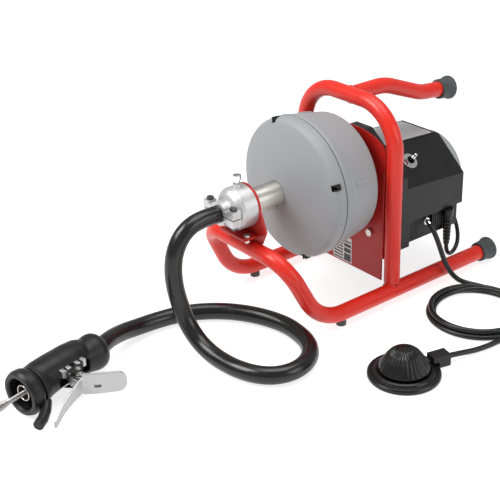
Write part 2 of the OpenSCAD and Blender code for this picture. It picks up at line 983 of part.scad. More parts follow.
module pedal_dome() {
    wall = 2.5;
    color("black")
        at_pedal()
            rotate_extrude($fn = 96)
                polygon([
                    [41.5, 15], [41.5, 17.5], [37.8, 25], [32.5, 34], [25.5, 43], [19.5, dome_top - 4],
                    [13, dome_top - 1], [0, dome_top], [0, dome_top - wall],
                    [12, dome_top - wall - 1], [17.5, dome_top - wall - 3.8], [23.4, 41.2],
                    [30.3, 32.4], [35.5, 23.8], [39, 16.8], [39, 15]
                ]);
}

module pedal_spring() {
    color("silver")
        at_pedal()
            translate([0, 0, 2.6])
                difference() {
                    cylinder(h = dome_top - 6.4, r = 11);
                    translate([0, 0, -1]) cylinder(h = dome_top, r = 9);
                }
}

// The gun's frame: y runs back from the mouth to the hose, x outwards
module at_gun() {
    translate([gun_x, gun_y, gun_z])
        rotate([0, 0, gun_heading])
            children();
}

// Turns a profile (radius, distance forward from the hose end) about the gun's bore
module about_bore() {
    rotate([90, 0, 0])
        rotate_extrude($fn = 72)
            children();
}

module gun_body() {
    color("black")
        at_gun()
            difference() {
                union() {
                    about_bore()
                        polygon([
                            [0, -2], [19, -2], [22, 1], [27, 5], [30.5, 11], [31.5, 18],
                            [30.5, 26], [28, 36], [25.5, 50], [24, 68], [24, 90], [25, 108],
                            [27, 124], [30, 134], [31, 140], [31, 147], [36, 151],
                            [37.5, 156], [37.5, gun_len - 5], [34.5, gun_len], [0, gun_len]
                        ]);
                    // grip that swells upwards and away from the lever
                    translate([-5, 0, 4.5])
                        about_bore()
                            polygon([
                                [0, 26], [24, 33], [28.5, 46], [30.2, 66], [30.4, 100],
                                [29.6, 128], [27, 146], [0, 156]
                            ]);
                }
                about_bore()
                    polygon([
                        [0, -3], [hose_r + 0.1, -3], [hose_r + 0.1, 20], [14.1, 20],
                        [14.1, gun_len - 28], [26.5, gun_len - 26], [26.5, gun_len - 3],
                        [28.5, gun_len + 1], [0, gun_len + 1]
                    ]);
                // slot for the lever and its jaw
                translate([8, -112, -11]) cube([40, 64, 22]);
                // wall beside the pin
                translate([lever_x - 7, lever_y, -30]) cylinder(h = 60, r = 10);
            }
}

module gun_sleeve() {
    color("silver")
        at_gun()
            difference() {
                about_bore()
                    polygon([
                        [11.5, 21], [14, 21], [14, gun_len - 28.2], [13.4, gun_len - 28],
                        [13.4, gun_len - 8], [11.8, gun_len - 8], [11.5, gun_len - 28]
                    ]);
                translate([6, -112, -11]) cube([40, 64, 22]);
            }
}

// Two ears on the gun's side that hold the lever pin
module gun_guard() {
    color("black")
        at_gun() {
            difference() {
                union() {
                    for (s = [-1, 1])
                        translate([0, 0, s > 0 ? 13 : -16])
                            linear_extrude(3)
                                polygon([[20, -66], [lever_x + 4, lever_y + 7], [lever_x + 4, lever_y - 7], [20, -104]]);
                }
                rotate([90, 0, 0]) translate([0, 0, 40]) cylinder(h = 90, r = 26.2);
                rotate([90, 0, 0]) translate([-5, 4.5, 40]) cylinder(h = 90, r = 30.6);
                translate([lever_x, lever_y, -30]) cylinder(h = 60, r = 2.6);
            }
            // curved finger guard at the front
            difference() {
                swept([
                    [24, -143, -7], [34, -150, -12], [44, -161, -17], [53, -175, -20], [60, -191, -21]
                ], 8.8, 12);
                rotate([90, 0, 0]) translate([0, 0, 120]) cylinder(h = 90, r = 37.7);
            }
        }
}

// Plan of the lever: a paddle that reaches back and a finger that reaches forward
module gun_lever() {
    low = -24;
    color("silver")
        at_gun()
            difference() {
                union() {
                    translate([lever_x, lever_y, -12.7]) cylinder(h = 16.7, r = 6.5);
                    translate([0, 0, low])
                        linear_extrude(38)
                            polygon([[50, -84], [94, -40], [98, -36], [100, -40], [97, -44], [53, -89]]);
                    translate([0, 0, -12])
                        linear_extrude(16)
                            polygon([[lever_x, lever_y + 3], [50, -83], [53, -89], [lever_x, lever_y - 3]]);
                    difference() {
                        translate([0, 0, low - 3])
                            linear_extrude(33)
                                polygon([
                                    [50, -84], [53, -89], [53, -100], [56, -124], [62, -146],
                                    [73, -168], [70, -170], [58.5, -148], [52, -124], [49, -100]
                                ]);
                        // the finger slopes down towards its tip
                        translate([30, -88, 6])
                            rotate([-17, 0, 180])
                                translate([-60, 0, 0])
                                    cube([80, 120, 40]);
                    }
                    // jaw that grips the cable through the slot
                    translate([6.5, lever_y - 9, -9]) cube([lever_x - 12, 18, 13]);
                }
                translate([lever_x, lever_y, -40]) cylinder(h = 80, r = 2.56);
            }
}

module lever_pin() {
    color("silver")
        at_gun()
            translate([lever_x, lever_y, -18]) {
                cylinder(h = 36, r = 2.5);
                translate([0, 0, 34.2]) cylinder(h = 1.8, r = 4);
            }
}

// Torsion spring round the pin, with one leg against the gun's side
module lever_spring() {
    color("silver")
        at_gun()
            difference() {
                union() {
                    translate([lever_x, lever_y, 4.4]) cylinder(h = 8.3, r = 5);
                    translate([lever_x - 13, lever_y + 3, 10]) cube([13, 1.6, 1.6]);
                }
                translate([lever_x, lever_y, 0]) cylinder(h = 20, r = 3);
            }
}

// The drain cable in the gun: a core that slides and the winding that spins on it
core_r = 1.4;
core_front = gun_len + 74;

module cable_core() {
    color("gray")
        at_gun()
            rotate([90, 0, 0])
                translate([0, 0, 24])
                    cylinder(h = core_front - 24, r = core_r);
}

module cable_tip() {
    color("slategray")
        at_gun()
            difference() {
                about_bore()
                    polygon([
                        [core_r + 0.05, 26], [cable_r, 26], [cable_r, gun_len + 20],
                        [6.4, gun_len + 29], [8, gun_len + 37], [8, gun_len + 54],
                        [6.6, gun_len + 63], [4.6, gun_len + 72], [core_r + 0.05, gun_len + 72]
                    ]);
            }
}

module guide_hose() {
    color("black") swept(hose_route, hose_r, 12);
}

module air_hose() {
    color("black") swept(air_in_route, air_r, 8);
}

module air_tail() {
    color("black") swept(air_out_route, air_r, 8);
}

// Outer shape of a coil lying on the floor
module floor_coil(x, y, mid_r, wide, high) {
    translate([x, y, 0.1])
        rotate_extrude($fn = 72)
            translate([mid_r - wide / 2, 0])
                square([wide, high]);
}

module air_coil() {
    color("black") floor_coil(air_coil_x, air_coil_y, air_coil_r, 4 * air_r + 2, 4 * air_r);
}

module power_coil() {
    color("dimgray") floor_coil(power_coil_x, power_coil_y, power_coil_r, 6 * cord_r + 1, 6 * cord_r + 1);
}

module power_cord() {
    color("dimgray") swept(power_in_route, cord_r, 8);
}

module power_tail() {
    color("dimgray") swept(power_out_route, cord_r, 8);
}

module at_plug() {
    translate(power_out_route[5])
        rotate([0, 0, 180 + atan2(10, 12)])
            children();
}

module plug_body() {
    color("dimgray")
        at_plug()
            difference() {
                union() {
                    translate([0.1, 0, 0]) rotate([0, 90, 0]) cylinder(h = 14, r = 6);
                    translate([14, -13, -13]) cube([24, 26, 26]);
                    translate([38, -14, -13.4]) cube([4, 28, 26.8]);
                }
                for (s = [-1, 1])
                    translate([36, s * 6.35 - 0.8, -0.2]) cube([10, 1.6, 6.4]);
                translate([30, 0, -6.2]) rotate([0, 90, 0]) cylinder(h = 20, r = 2.42);
            }
}

module plug_pins() {
    color("gold")
        at_plug() {
            for (s = [-1, 1])
                translate([36.1, s * 6.35 - 0.75, 0]) cube([22, 1.5, 6.2]);
            translate([30.1, 0, -6.2]) rotate([0, 90, 0]) cylinder(h = 32, r = 2.4);
        }
}

base_tube();
arch_tube();
handle_tube();
motor_plate();
nose_bracket();
frame_bolts();
front_feet();
tube_caps();
nose_housing();
nose_bearing();
clamp_upper();
clamp_lower();
clamp_bolts();
clamp_nuts();
thumb_screw();
drum_front();
drum_rear();
drum_clips();
hub_tube();
drum_shaft();
cable_coil();
cable_lead();
drum_gear();
shaft_bearing();
gear_case();
motor_cover();
top_panel();
rear_cover();
stator();
motor_bearings();
rotor();
motor_shaft();
cooling_fan();
switch_body();
switch_ring();
toggle();
air_switch();
air_fitting();
strain_relief();
pedal_base();
pedal_spout();
pedal_dome();
pedal_spring();
gun_body();
gun_sleeve();
gun_guard();
gun_lever();
lever_pin();
lever_spring();
cable_core();
cable_tip();
guide_hose();
air_hose();
air_coil();
air_tail();
power_cord();
power_coil();
power_tail();
plug_body();
plug_pins();
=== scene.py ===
import math

import bpy
import bmesh
from mathutils import Matrix, Vector
from mathutils.geometry import interpolate_bezier


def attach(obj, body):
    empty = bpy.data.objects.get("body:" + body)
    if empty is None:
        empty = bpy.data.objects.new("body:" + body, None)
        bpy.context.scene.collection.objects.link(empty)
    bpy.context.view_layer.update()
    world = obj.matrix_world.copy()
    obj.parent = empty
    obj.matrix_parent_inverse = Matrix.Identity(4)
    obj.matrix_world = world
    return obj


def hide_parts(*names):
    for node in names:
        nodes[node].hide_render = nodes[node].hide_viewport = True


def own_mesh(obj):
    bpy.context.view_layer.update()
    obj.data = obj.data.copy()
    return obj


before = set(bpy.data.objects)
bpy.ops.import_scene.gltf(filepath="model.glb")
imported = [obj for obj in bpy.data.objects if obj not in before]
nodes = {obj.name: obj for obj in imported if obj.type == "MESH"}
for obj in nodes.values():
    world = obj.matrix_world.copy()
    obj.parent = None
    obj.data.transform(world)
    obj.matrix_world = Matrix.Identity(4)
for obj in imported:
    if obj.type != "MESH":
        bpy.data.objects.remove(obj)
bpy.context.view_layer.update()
MM = 0.001

# ---------------------------------------------------------------- camera

# fitted to the photo's view of the machine
AZ, EL, ROLL = math.radians(52.88), math.radians(26.69), math.radians(-2.08)
EYE, LENS = Vector((1.3494, -1.2477, 0.9836)), 79.2
cam_data = bpy.data.cameras.new("camera")
cam_data.lens = LENS
cam_data.sensor_width = 36
cam = bpy.data.objects.new("camera", cam_data)
bpy.context.scene.collection.objects.link(cam)
back = Vector((math.sin(AZ) * math.cos(EL), -math.cos(AZ) * math.cos(EL), math.sin(EL)))
right = Vector((math.cos(AZ), math.sin(AZ), 0))
up = back.cross(right)
r2 = right * math.cos(ROLL) + up * math.sin(ROLL)
u2 = up * math.cos(ROLL) - right * math.sin(ROLL)
turn = Matrix((r2, u2, back)).transposed().to_4x4()
cam.matrix_world = Matrix.Translation(EYE) @ turn
bpy.context.scene.camera = cam

# ---------------------------------------------------------------- materials


class Mat:
    """A procedural material that is put together from noise, in object space."""

    def __init__(self, name, color, rough, metallic=0.0, coat=0.0, spec=0.5):
        self.m = bpy.data.materials.new(name)
        self.m.use_nodes = True
        self.t = self.m.node_tree
        self.b = self.t.nodes["Principled BSDF"]
        self.b.inputs["Metallic"].default_value = metallic
        self.b.inputs["Coat Weight"].default_value = coat
        self.b.inputs["Coat Roughness"].default_value = 0.12
        self.b.inputs["Specular IOR Level"].default_value = spec
        self.color, self.rough = color, rough
        self.space = self.t.nodes.new("ShaderNodeTexCoord")
        self.normal = None

    def noise(self, scale, detail=4.0, rough=0.55, stretch=None):
        n = self.t.nodes.new("ShaderNodeTexNoise")
        n.inputs["Scale"].default_value = scale
        n.inputs["Detail"].default_value = detail
        n.inputs["Roughness"].default_value = rough
        src = self.space.outputs["Object"]
        if stretch:
            mp = self.t.nodes.new("ShaderNodeMapping")
            mp.inputs["Scale"].default_value = stretch
            self.t.links.new(src, mp.inputs["Vector"])
            src = mp.outputs["Vector"]
        self.t.links.new(src, n.inputs["Vector"])
        return n.outputs["Fac"]

    def ramp(self, fac, stops):
        r = self.t.nodes.new("ShaderNodeValToRGB")
        r.color_ramp.elements[0].position, r.color_ramp.elements[0].color = stops[0]
        r.color_ramp.elements[1].position, r.color_ramp.elements[1].color = stops[-1]
        for p, c in stops[1:-1]:
            e = r.color_ramp.elements.new(p)
            e.color = c
        self.t.links.new(fac, r.inputs["Fac"])
        return r.outputs["Color"]

    def colors(self, scale, amount, detail=4.0, stretch=None, tint=(1, 1, 1)):
        """Base colour that drifts by amount, over patches of the given scale."""
        c = self.color
        lo = [max(0, x * (1 - amount)) for x in c] + [1]
        hi = [min(1, x * (1 + amount) * k) for x, k in zip(c, tint)] + [1]
        out = self.ramp(self.noise(scale, detail, stretch=stretch), [(0.3, lo), (0.7, hi)])
        self.t.links.new(out, self.b.inputs["Base Color"])
        return self

    def roughs(self, scale, spread, detail=5.0, stretch=None):
        lo, hi = self.rough - spread, self.rough + spread
        r = self.t.nodes.new("ShaderNodeMapRange")
        r.inputs["From Min"].default_value = 0.3
        r.inputs["From Max"].default_value = 0.7
        r.inputs["To Min"].default_value = max(0.03, lo)
        r.inputs["To Max"].default_value = min(1, hi)
        self.t.links.new(self.noise(scale, detail, stretch=stretch), r.inputs["Value"])
        self.t.links.new(r.outputs["Result"], self.b.inputs["Roughness"])
        return self

    def bump(self, scale, depth, strength=0.5, detail=3.0, stretch=None):
        """Bump from noise; depth in metres."""
        n = self.t.nodes.new("ShaderNodeBump")
        n.inputs["Strength"].default_value = strength
        n.inputs["Distance"].default_value = depth
        self.t.links.new(self.noise(scale, detail, stretch=stretch), n.inputs["Height"])
        if self.normal:
            self.t.links.new(self.normal, n.inputs["Normal"])
        self.normal = n.outputs["Normal"]
        self.t.links.new(self.normal, self.b.inputs["Normal"])
        return self


red = Mat("red_paint", (0.6, 0.019, 0.009), 0.34, coat=0.12, spec=0.35).colors(11, 0.05).roughs(60, 0.05)
red.bump(520, 0.0001, 0.3).bump(45, 0.0002, 0.08)
sheet_red = Mat("sheet_red", (0.4, 0.011, 0.008), 0.4, coat=0.08, spec=0.35).colors(12, 0.08).roughs(60, 0.07)
sheet_red.bump(500, 0.0001, 0.35)
grey = Mat("drum_grey", (0.26, 0.268, 0.276), 0.5, spec=0.4).colors(7, 0.035).roughs(30, 0.05)
grey.bump(900, 0.0001, 0.3).bump(25, 0.0004, 0.06)
black = Mat("black_plastic", (0.006, 0.006, 0.0065), 0.28, spec=0.34).colors(20, 0.3).roughs(60, 0.06)
black.bump(1500, 0.00008, 0.35)
satin_black = Mat("satin_black", (0.009, 0.009, 0.01), 0.38, spec=0.3).colors(20, 0.25).roughs(60, 0.06)
satin_black.bump(1300, 0.0001, 0.4)
cap_rubber = Mat("cap_rubber", (0.042, 0.05, 0.052), 0.62).colors(30, 0.25).roughs(90, 0.08)
cap_rubber.bump(800, 0.00018, 0.55)
hose_rubber = Mat("hose_rubber", (0.006, 0.006, 0.0065), 0.24, spec=0.46).colors(25, 0.3).roughs(50, 0.07)
hose_rubber.bump(350, 0.00022, 0.45).bump(40, 0.0006, 0.12)
cord_rubber = Mat("cord_rubber", (0.009, 0.009, 0.0095), 0.32, spec=0.38).colors(25, 0.25).roughs(60, 0.06)
cord_rubber.bump(600, 0.00012, 0.4)
cast = Mat("cast_alloy", (0.56, 0.56, 0.56), 0.42, metallic=0.7).colors(26, 0.07).roughs(70, 0.08)
cast.bump(420, 0.00022, 0.5).bump(1600, 0.0001, 0.4)
polished = Mat("polished_alloy", (0.44, 0.44, 0.44), 0.3, metallic=0.75).colors(20, 0.05).roughs(45, 0.06)
polished.bump(70, 0.0004, 0.2).bump(900, 0.00005, 0.25)
zinc = Mat("zinc_steel", (0.6, 0.585, 0.55), 0.34, metallic=1.0)
zinc.colors(22, 0.04, tint=(1, 0.99, 0.96)).roughs(60, 0.03).bump(900, 0.00003, 0.12)
chrome = Mat("bright_plate", (0.75, 0.75, 0.76), 0.13, metallic=1.0).colors(30, 0.05).roughs(80, 0.05)
chrome.bump(500, 0.00005, 0.2)
dark_steel = Mat("dark_steel", (0.1, 0.1, 0.105), 0.38, metallic=0.9).colors(60, 0.3).roughs(120, 0.1)
dark_steel.bump(1200, 0.00008, 0.4)
wire = Mat("cable_wire", (0.5, 0.49, 0.47), 0.3, metallic=1.0).colors(70, 0.22).roughs(140, 0.09)
wire.bump(1500, 0.00006, 0.4)
iron = Mat("motor_iron", (0.2, 0.2, 0.21), 0.5, metallic=0.8).colors(50, 0.2).roughs(120, 0.1)
iron.bump(900, 0.00015, 0.5, stretch=(1, 6, 1))
brass = Mat("pin_brass", (0.75, 0.53, 0.2), 0.26, metallic=1.0).colors(40, 0.1).roughs(90, 0.06)
brass.bump(900, 0.00005, 0.3)
panel = Mat("panel_grey", (0.42, 0.43, 0.43), 0.42).colors(14, 0.08).roughs(60, 0.06)
panel.bump(1200, 0.00008, 0.4)
cover_grey = Mat("cover_grey", (0.3, 0.305, 0.31), 0.45).colors(16, 0.06).roughs(60, 0.06)
cover_grey.bump(1100, 0.00009, 0.4)
label_white = Mat("label_white", (0.72, 0.72, 0.7), 0.35).colors(40, 0.04).roughs(60, 0.05)
label_white.bump(700, 0.00004, 0.3)
label_black = Mat("label_black", (0.02, 0.02, 0.02), 0.35).colors(40, 0.2).roughs(60, 0.05)
label_black.bump(700, 0.00004, 0.3)

# ---------------------------------------------------------------- mesh helpers


def link(name, mesh, mat, body="machine", smooth=35):
    o = bpy.data.objects.new(name, mesh)
    bpy.context.scene.collection.objects.link(o)
    o.data.materials.clear()
    o.data.materials.append(mat.m)
    if smooth:
        soften(o, smooth)
    if body:
        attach(o, body)
    return o


def soften(o, angle):
    for p in o.data.polygons:
        p.use_smooth = True
    o.data.set_sharp_from_angle(angle=math.radians(angle))


def bevel(o, width, segments=3, angle=30):
    b = o.modifiers.new("edge", "BEVEL")
    b.width = width * MM
    b.segments = segments
    b.limit_method = "ANGLE"
    b.angle_limit = math.radians(angle)
    b.use_clamp_overlap = True
    b.harden_normals = True
    return o


def rounded(points, radii, steps=5, closed=True):
    """A 2-D outline with its corners rounded; radii is one number or one for each corner."""
    n = len(points)
    out = []
    for i, p in enumerate(points):
        r = radii[i] if isinstance(radii, (list, tuple)) else radii
        p = Vector(p)
        if r <= 0 or (not closed and i in (0, n - 1)):
            out.append(p)
            continue
        a, c = Vector(points[i - 1]) - p, Vector(points[(i + 1) % n]) - p
        la, lc = a.length, c.length
        a.normalize()
        c.normalize()
        half = a.angle(c) / 2
        if half > math.radians(89):
            out.append(p)
            continue
        cut = min(r / math.tan(half), la * 0.49, lc * 0.49)
        rr = cut * math.tan(half)
        mid = p + (a + c).normalized() * (rr / math.sin(half))
        s, e = p + a * cut - mid, p + c * cut - mid
        total = s.angle(e)
        sign = 1 if s.x * e.y - s.y * e.x > 0 else -1
        for k in range(steps + 1):
            q = s.copy()
            q.rotate(Matrix.Rotation(sign * total * k / steps, 2))
            out.append(mid + q)
    return out


def lathe(name, profile, place, mat, body="machine", segments=128, closed=True, smooth=35, wave=None):
    """Turns a profile of (radius, height) in mm round the z axis of place. wave(angle, r, h) may move a point."""
    bm = bmesh.new()
    rings = []
    for k in range(segments):
        a = 2 * math.pi * k / segments
        ring = []
        for r, h in profile:
            rr, hh = (r, h) if wave is None else wave(a, r, h)
            ring.append(bm.verts.new(place @ Vector((rr * math.cos(a) * MM, rr * math.sin(a) * MM, hh * MM))))
        rings.append(ring)
    n = len(profile)
    for k in range(segments):
        a, b = rings[k], rings[(k + 1) % segments]
        for i in range(n if closed else n - 1):
            j = (i + 1) % n
            bm.faces.new((a[i], b[i], b[j], a[j]))
    bmesh.ops.remove_doubles(bm, verts=bm.verts, dist=1e-7)
    bmesh.ops.dissolve_degenerate(bm, edges=bm.edges, dist=1e-7)
    bmesh.ops.recalc_face_normals(bm, faces=bm.faces)
    me = bpy.data.meshes.new(name)
    bm.to_mesh(me)
    bm.free()
    return link(name, me, mat, body, smooth)


def prism(name, outline, h0, h1, place, mat, body="machine", smooth=30):
    """A straight solid from a 2-D outline in mm, between heights h0 and h1 of place."""
    bm = bmesh.new()
    low = [bm.verts.new(place @ Vector((p[0] * MM, p[1] * MM, h0 * MM))) for p in outline]
    top = [bm.verts.new(place @ Vector((p[0] * MM, p[1] * MM, h1 * MM))) for p in outline]
    bm.faces.new(low[::-1])
    bm.faces.new(top)
    for i in range(len(low)):
        j = (i + 1) % len(low)
        bm.faces.new((low[i], low[j], top[j], top[i]))
    bmesh.ops.recalc_face_normals(bm, faces=bm.faces)
    me = bpy.data.meshes.new(name)
    bm.to_mesh(me)
    bm.free()
    return link(name, me, mat, body, smooth)


def tube(name, points, radius, place, mat, body="machine", sides=20, section=None, smooth=35):
    """A closed tube along points in mm; radius is a number or one for each point.
    section(k) may give the ring's own (across, up) factors."""
    pts = [Vector(p) for p in points]
    n = len(pts)
    bm = bmesh.new()
    rings = []
    side = None
    for i, p in enumerate(pts):
        d = (pts[min(i + 1, n - 1)] - pts[max(i - 1, 0)]).normalized()
        if side is None:
            side = d.cross(Vector((0, 0, 1)) if abs(d.z) < 0.9 else Vector((1, 0, 0))).normalized()
        side = (side - d * side.dot(d)).normalized()
        other = d.cross(side)
        r = radius[i] if isinstance(radius, (list, tuple)) else radius
        fa, fb = section(i) if section else (1, 1)
        ring = []
        for k in range(sides):
            a = 2 * math.pi * k / sides
            q = p + side * (r * fa * math.cos(a)) + other * (r * fb * math.sin(a))
            ring.append(bm.verts.new(place @ (q * MM)))
        rings.append(ring)
    for a, b in zip(rings, rings[1:]):
        for k in range(sides):
            m = (k + 1) % sides
            bm.faces.new((a[k], a[m], b[m], b[k]))
    bm.faces.new(rings[0][::-1])
    bm.faces.new(rings[-1])
    bmesh.ops.recalc_face_normals(bm, faces=bm.faces)
    me = bpy.data.meshes.new(name)
    bm.to_mesh(me)
    bm.free()
    return link(name, me, mat, body, smooth)


def cut(o, cutter):
    """Takes cutter away from o, and deletes it."""
    m = o.modifiers.new("cut", "BOOLEAN")
    m.operation = "DIFFERENCE"
    m.solver = "EXACT"
    m.object = cutter
    apply(o)
    bpy.data.objects.remove(cutter, do_unlink=True)
    return o


def apply(o):
    deps = bpy.context.evaluated_depsgraph_get()
    me = bpy.data.meshes.new_from_object(o.evaluated_get(deps))
    o.modifiers.clear()
    o.data = me


def catmull(points, step=3):
    """Extra points on a smooth line through the given ones, in mm."""
    p = [Vector(q) for q in points]
    out = []
    for i in range(len(p) - 1):
        a, b = p[i], p[i + 1]
        before = p[i - 1] if i else a - (b - a)
        after = p[i + 2] if i + 2 < len(p) else b + (b - a)
        h1, h2 = a + (b - before) / 6, b - (after - a) / 6
        out += [Vector(q) for q in interpolate_bezier(a, h1, h2, b, step + 1)][:-1]
    return out + [p[-1]]


def cord_curve(name, points, radius, mat, body="machine", step=3, sides=6):
    """A cord through points in mm, as one open curve."""
    pts = catmull(points, step)
    data = bpy.data.curves.new(name, "CURVE")
    data.dimensions = "3D"
    data.bevel_depth = radius * MM
    data.bevel_resolution = sides
    data.use_fill_caps = True
    s = data.splines.new("POLY")
    s.points.add(len(pts) - 1)
    for q, p in zip(s.points, pts):
        q.co = (p.x * MM, p.y * MM, p.z * MM, 1)
    s.use_smooth = True
    o = bpy.data.objects.new(name, data)
    bpy.context.scene.collection.objects.link(o)
    data.materials.append(mat.m)
    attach(o, body)
    length = sum((b - a).length for a, b in zip(pts, pts[1:])) * MM
    return o, length


# places in the frame, in mm unless said; a place's +z is the way its outlines are raised
ID = Matrix.Identity(4)
DRUM_Z = 221
TUBE_R = 14.3
ARCH_X, ARCH_Y, ARCH_TOP = 117, 1.4, 360.6
RAIL_X, RAIL_Z = 121.5, 22
HANDLE_Z = 358.6
HOOP_Z = 147
NOSE = Matrix.Translation((0, 0, DRUM_Z * MM)) @ Matrix.Rotation(math.pi / 2, 4, "X")
GUN = Matrix.Translation((-0.0351, -0.5145, 0.0377)) @ Matrix.Rotation(math.radians(13), 4, "Z")
BORE = GUN @ Matrix.Rotation(math.pi / 2, 4, "X")
PEDAL = Matrix.Translation((0.308, -0.158, 0))
COVER = Matrix.Translation((0, 0.04, 0)) @ Matrix.Rotation(math.radians(-3.2), 4, "X")
TOP_PANEL = COVER @ Matrix.Translation((0, 0, 0.2634))
PLATE = Matrix.Translation((0, -0.0085, 0)) @ Matrix.Rotation(math.pi / 2, 4, "X")

# ---------------------------------------------------------------- cords

hose_route = [
    (0, -281, 221), (0, -300, 221), (0, -322, 221), (0, -346, 216), (0, -366, 202), (0, -380, 178),
    (1, -386, 148), (4, -386, 116), (10, -382, 84), (22, -378, 54), (44, -374, 31), (74, -371, 19),
    (106, -368, 15.5), (138, -363, 15.5), (168, -351, 15.5), (190, -331, 15.5), (200, -303, 15.5),
    (196, -273, 15.5), (179, -246, 15.5), (151, -227, 15.5), (117, -218, 15.5), (80, -217, 15.5),
    (42, -226, 15.5), (6, -243, 15.5), (-26, -267, 15.5), (-52, -298, 15.5), (-70, -334, 15.5),
    (-79, -374, 15.5), (-79, -415, 18), (-71.5, -448, 24.5), (-58.5, -477, 31.5), (-46, -497.5, 36),
    (-35.5, -515.8, 37.7), (-31.3, -531.1, 37.7),
]
hose, hose_len = cord_curve("guide_hose_rubber", hose_route, 15, hose_rubber, step=4, sides=10)
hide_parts("guide_hose")


def ring_turns(cx, cy, start, turns, way, radii, heights, per=16):
    """Points of a coil; radii and heights are read along its turns."""
    out = []
    count = round(turns * per)

    def at(vals, t):
        x = t * (len(vals) - 1)
        i = min(int(x), len(vals) - 2)
        f = x - i
        f = f * f * (3 - 2 * f)
        return vals[i] * (1 - f) + vals[i + 1] * f

    for k in range(count + 1):
        t = k / count
        a = start + way * 2 * math.pi * turns * t
        r = at(radii, t)
        out.append((cx + r * math.cos(a), cy + r * math.sin(a), at(heights, t)))
    return out


air_in = [
    (114, 99, 118), (122, 101, 106), (130, 104, 88), (137, 108, 66), (143, 114, 44),
    (150, 123, 24), (160, 134, 10), (176, 145, 5), (198, 153, 5), (226, 158, 5),
]
air_turns = ring_turns(256, 76, math.pi / 2, 3.25, -1,
                       [86.2, 86.2, 76.4, 76.4, 81.5, 82, 86.2],
                       [5, 5, 5, 5, 14.2, 14.2, 5])
air_out = [(343, 52, 5), (343, 28, 5), (341, 2, 5), (337, -24, 6), (332, -50, 9), (327.5, -79, 13)]
air, air_len = cord_curve("air_hose_black", air_in + air_turns + air_out, 4.75, cord_rubber, step=3, sides=6)
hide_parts("air_hose", "air_coil", "air_tail")

lead_in = [
    (108, 151, 61), (107.2, 153.3, 48.8), (104.9, 159.8, 38.4), (101.5, 169.6, 31.4),
    (97.4, 181.2, 29), (93.6, 192.6, 31.6), (89.3, 203.2, 40), (83.5, 210.4, 51.5),
    (74.5, 216, 64.5), (62.5, 221.5, 76.5), (48, 229.5, 85.5), (31, 240, 89), (15, 253, 84),
    (2, 268, 71), (-8, 285, 54), (-19, 303, 35), (-32, 321, 18), (-50, 340, 6.5),
    (-72, 358.5, 4.2), (-94, 371.5, 4.2),
]
WIDE, MIDDLE, TIGHT = 52.2, 44, 35.8
FIRST, SECOND, THIRD = 4.2, 12.4, 20.6
lead_turns = ring_turns(-112, 324, math.pi / 2, 8.25, 1,
                        [WIDE] * 2 + [MIDDLE] * 2 + [TIGHT] * 2 + [MIDDLE] * 2 + [WIDE] * 2
                        + [MIDDLE] * 2 + [TIGHT] * 2 + [MIDDLE] + [WIDE] * 2,
                        [FIRST] * 5 + [SECOND] * 4 + [THIRD] * 7 + [FIRST], per=14)
lead_out = [(-165, 308, 4.2), (-168, 292, 5), (-174, 276, 8), (-183, 262, 12), (-195, 252, 14)]
lead, lead_len = cord_curve("mains_cord", lead_in + lead_turns + lead_out, 4, cord_rubber, step=2, sides=5)
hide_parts("power_cord", "power_coil", "power_tail")
print("cord lengths", round(hose_len, 3), round(air_len, 3), round(lead_len, 3))

# ---------------------------------------------------------------- the CAD nodes, by material

LOOKS = {
    red: ["base_tube", "arch_tube", "handle_tube"],
    sheet_red: ["motor_plate", "nose_bracket"],
    zinc: ["frame_bolts", "hub_tube", "drum_shaft", "nose_bearing", "shaft_bearing", "motor_bearings",
           "motor_shaft", "lever_pin", "lever_spring", "pedal_spring"],
    cast: ["nose_housing", "clamp_upper", "clamp_lower"],
    dark_steel: ["clamp_bolts", "clamp_nuts"],
    polished: ["gun_lever"],
    chrome: ["thumb_screw", "switch_ring", "toggle", "air_fitting"],
    grey: ["drum_front", "drum_rear"],
    cover_grey: ["rear_cover"],
    satin_black: ["drum_clips", "gear_case", "motor_cover", "switch_body", "air_switch",
                  "pedal_base", "pedal_spout", "pedal_dome", "gun_body", "gun_guard", "cooling_fan",
                  "drum_gear", "plug_body", "strain_relief", "top_panel", "guide_hose",
                  "air_hose", "air_coil", "air_tail", "power_cord", "power_coil", "power_tail"],
    cap_rubber: ["front_feet", "tube_caps"],
    wire: ["cable_coil", "cable_lead", "cable_core", "cable_tip", "gun_sleeve"],
    iron: ["stator", "rotor"],
    brass: ["plug_pins"],
}
for mat, names in LOOKS.items():
    for n in names:
        o = nodes[n]
        for s in o.material_slots:
            s.material = mat.m
        if not o.material_slots:
            o.data.materials.append(mat.m)
        soften(o, 28)

# ---------------------------------------------------------------- edges of the CAD nodes that stay


def cast_look(o, voxel, passes):
    """Blends the meeting surfaces of a moulded or cast piece."""
    m = o.modifiers.new("blend", "REMESH")
    m.mode = "VOXEL"
    m.voxel_size = voxel * MM
    m.use_smooth_shade = True
    m = o.modifiers.new("relax", "SMOOTH")
    m.factor = 0.5
    m.iterations = passes


# width of the rounded edges, in mm
EDGE_WIDTHS = {
    "gear_case": 2.5, "motor_cover": 2.6, "rear_cover": 1.2, "top_panel": 0.5, "motor_plate": 0.7,
    "nose_bracket": 0.8, "clamp_upper": 1.2, "clamp_lower": 1.2, "frame_bolts": 0.5,
    "clamp_bolts": 0.5, "clamp_nuts": 0.5, "pedal_spout": 1.6, "switch_body": 0.8,
    "switch_ring": 0.4, "air_switch": 1, "plug_body": 1.6, "nose_housing": 0.8,
    "front_feet": 0.6, "plug_pins": 0.2,
}
for n, w in EDGE_WIDTHS.items():
    bevel(nodes[n], w, 3, 32)
cast_look(nodes["gun_body"], 1.1, 7)
cast_look(nodes["gun_guard"], 0.8, 5)

# ---------------------------------------------------------------- drum

